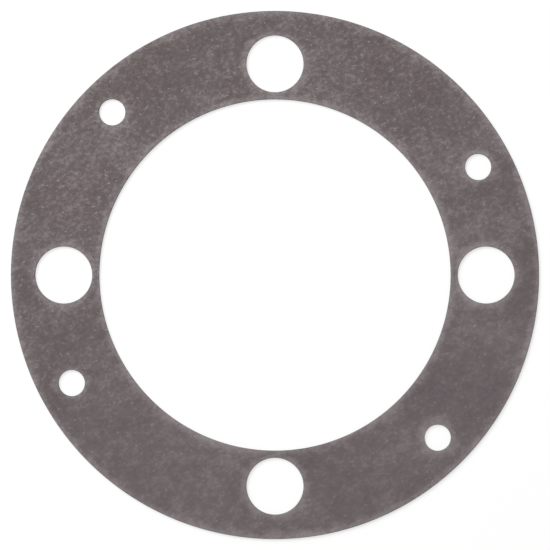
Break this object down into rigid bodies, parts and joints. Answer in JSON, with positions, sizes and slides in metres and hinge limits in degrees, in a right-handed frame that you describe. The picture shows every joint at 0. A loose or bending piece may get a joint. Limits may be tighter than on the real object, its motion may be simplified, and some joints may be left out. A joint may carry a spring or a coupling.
{
  "type": "flat gasket",
  "caption": "Flat round fibre gasket with a wide centre bore, stud holes and smaller screw holes; it seals the joint between hub flanges.",
  "frame": {"origin": "on the axis of the bore, in the plane of the lower face", "axes": "+Z along the axis of the bore, up through the sheet; +X through the middle of a stud hole"},
  "size_m": [0.127, 0.127, 0.0008],
  "materials": {
    "fibre_sheet": "matte"
  },
  "bodies": {
    "root": {"gasket": "fibre_sheet"}
  },
  "joints": []
}
